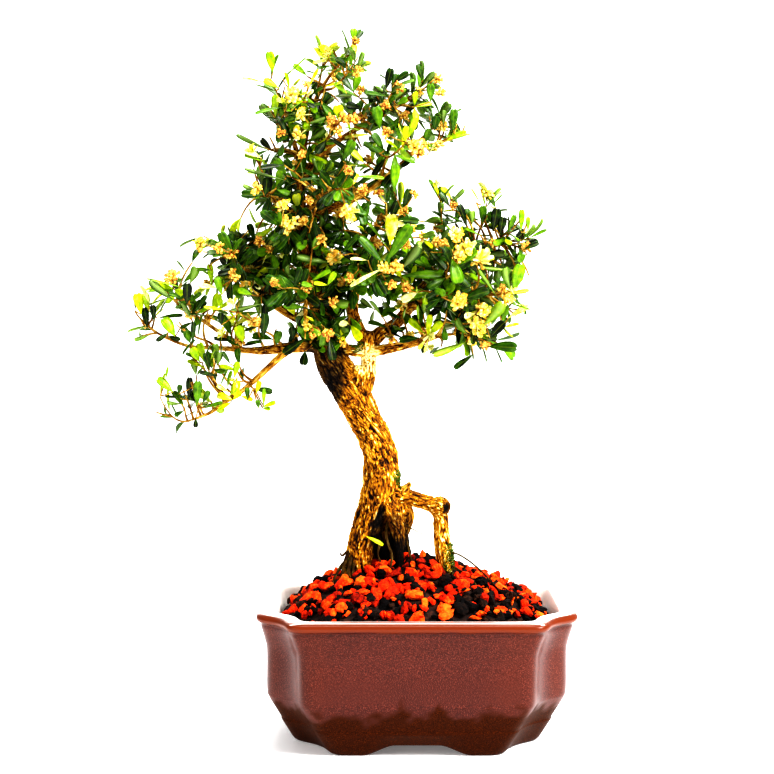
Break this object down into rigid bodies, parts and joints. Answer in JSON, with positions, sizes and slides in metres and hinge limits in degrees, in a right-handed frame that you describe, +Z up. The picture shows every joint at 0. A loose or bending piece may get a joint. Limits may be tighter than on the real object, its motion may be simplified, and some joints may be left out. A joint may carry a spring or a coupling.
{
  "type": "potted boxwood bonsai",
  "caption": "Boxwood bonsai with a leaning trunk, stilt root and layered leafy sprays, in an oblong glazed pot with hollow corners and lava chips.",
  "frame": {"origin": "middle of the whole plant's width and depth, on the surface that the pot's feet stand on", "axes": "+Z up, +X to the right along the pot's length, +Y to the back"},
  "size_m": [0.2566, 0.1428, 0.4077],
  "materials": {
    "glazed_stoneware": "gloss",
    "drain_mesh_plastic": "matte",
    "bonsai_soil": "matte",
    "lava_chips": "matte",
    "boxwood_bark": "matte",
    "boxwood_leaf": "satin"
  },
  "bodies": {
    "root": {"pot": "glazed_stoneware", "drain_screen_left": "drain_mesh_plastic", "drain_screen_right": "drain_mesh_plastic", "soil": "bonsai_soil", "lava_dressing": "lava_chips", "wood": "boxwood_bark", "spray_apex_tip": "boxwood_leaf", "spray_apex_left": "boxwood_leaf", "spray_apex_back": "boxwood_leaf", "spray_apex_front": "boxwood_leaf", "spray_upleft_tip": "boxwood_leaf", "spray_upleft_front": "boxwood_leaf", "spray_upleft_back": "boxwood_leaf", "spray_shoulder_left": "boxwood_leaf", "spray_high_left_tip": "boxwood_leaf", "spray_high_left_front": "boxwood_leaf", "spray_high_left_back": "boxwood_leaf", "spray_crown_front": "boxwood_leaf", "spray_crown_tip": "boxwood_leaf", "spray_crown_back": "boxwood_leaf", "spray_upper_right_front": "boxwood_leaf", "spray_upper_right_tip": "boxwood_leaf", "spray_upper_right_back": "boxwood_leaf", "spray_heart_front_top": "boxwood_leaf", "spray_heart_front": "boxwood_leaf", "spray_heart_front_left": "boxwood_leaf", "spray_heart_front_right": "boxwood_leaf", "spray_heart_low_front": "boxwood_leaf", "spray_low_front": "boxwood_leaf", "spray_heart_back": "boxwood_leaf", "spray_low_back": "boxwood_leaf", "spray_heart_back_right": "boxwood_leaf", "spray_heart_low_back": "boxwood_leaf", "spray_right_top_near": "boxwood_leaf", "spray_right_top_far": "boxwood_leaf", "spray_right_tip": "boxwood_leaf", "spray_right_side": "boxwood_leaf", "spray_right_front_tip": "boxwood_leaf", "spray_right_front_mid": "boxwood_leaf", "spray_right_back_tip": "boxwood_leaf", "spray_right_back_mid": "boxwood_leaf", "spray_right_low_tip": "boxwood_leaf", "spray_right_low_front": "boxwood_leaf", "spray_left_mid_tip": "boxwood_leaf", "spray_left_mid_front": "boxwood_leaf", "spray_left_mid_back": "boxwood_leaf", "spray_left_low_tip": "boxwood_leaf", "spray_left_low_side": "boxwood_leaf", "spray_left_low_front": "boxwood_leaf", "spray_left_rise_tip": "boxwood_leaf", "spray_droop_tip": "boxwood_leaf", "spray_droop_mid": "boxwood_leaf", "spray_droop_up": "boxwood_leaf"}
  },
  "joints": []
}
